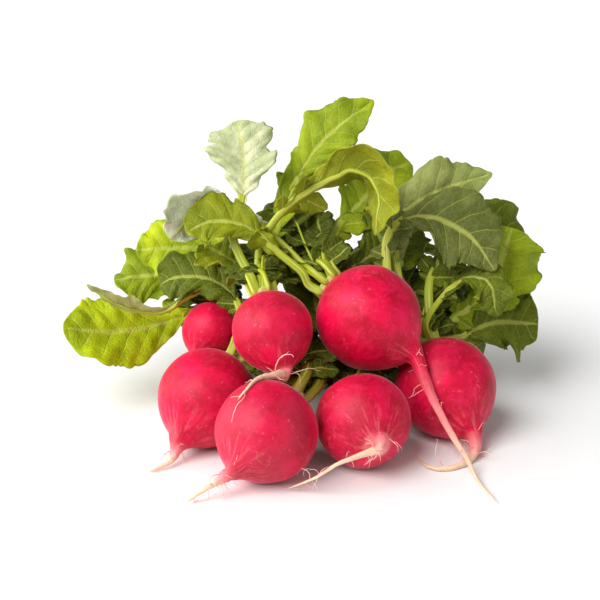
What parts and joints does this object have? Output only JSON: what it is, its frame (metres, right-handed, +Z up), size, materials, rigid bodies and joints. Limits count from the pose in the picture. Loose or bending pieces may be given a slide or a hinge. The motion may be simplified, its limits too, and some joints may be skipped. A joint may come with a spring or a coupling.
{
  "type": "bunch of red radishes",
  "caption": "Bunch of round red radishes with taproots and lobed green leaf tops, lying on a surface as food or a still-life prop.",
  "frame": {"origin": "middle of the underside of the bounding box, on the surface that the bunch lies on", "axes": "+Z up from that surface; +X along the widest spread of the leaves; the taproots point towards -Y and the leaf tops lie towards +Y"},
  "size_m": [0.1908, 0.1482, 0.1189],
  "materials": {
    "radish_skin": "satin",
    "leaf": "matte"
  },
  "bodies": {
    "root": {"leaf_back_left_1": "leaf", "leaf_back_left_2": "leaf", "leaf_back_left_3": "leaf", "leaf_front_left_1": "leaf", "leaf_front_left_2": "leaf", "leaf_front_left_3": "leaf", "leaf_front_left_4": "leaf", "leaf_front_right_1": "leaf", "leaf_front_right_2": "leaf", "leaf_front_right_3": "leaf", "leaf_front_right_4": "leaf", "leaf_front_right_5": "leaf", "leaf_left_1": "leaf", "leaf_left_2": "leaf", "leaf_left_3": "leaf", "leaf_right_1": "leaf", "leaf_right_2": "leaf", "leaf_right_3": "leaf", "leaf_right_4": "leaf", "leaf_right_5": "leaf", "leaf_right_6": "leaf", "leaf_right_7": "leaf", "leaf_top_left_1": "leaf", "leaf_top_left_2": "leaf", "leaf_top_left_3": "leaf", "leaf_top_left_4": "leaf", "leaf_top_left_5": "leaf", "leaf_top_right_1": "leaf", "leaf_top_right_2": "leaf", "leaf_top_right_3": "leaf", "leaf_top_right_4": "leaf", "leaf_top_right_5": "leaf", "leaf_top_right_6": "leaf", "leaf_top_right_7": "leaf", "radish_back_left": "radish_skin", "radish_front_left": "radish_skin", "radish_front_right": "radish_skin", "radish_left": "radish_skin", "radish_right": "radish_skin", "radish_top_left": "radish_skin", "radish_top_right": "radish_skin"}
  },
  "joints": []
}
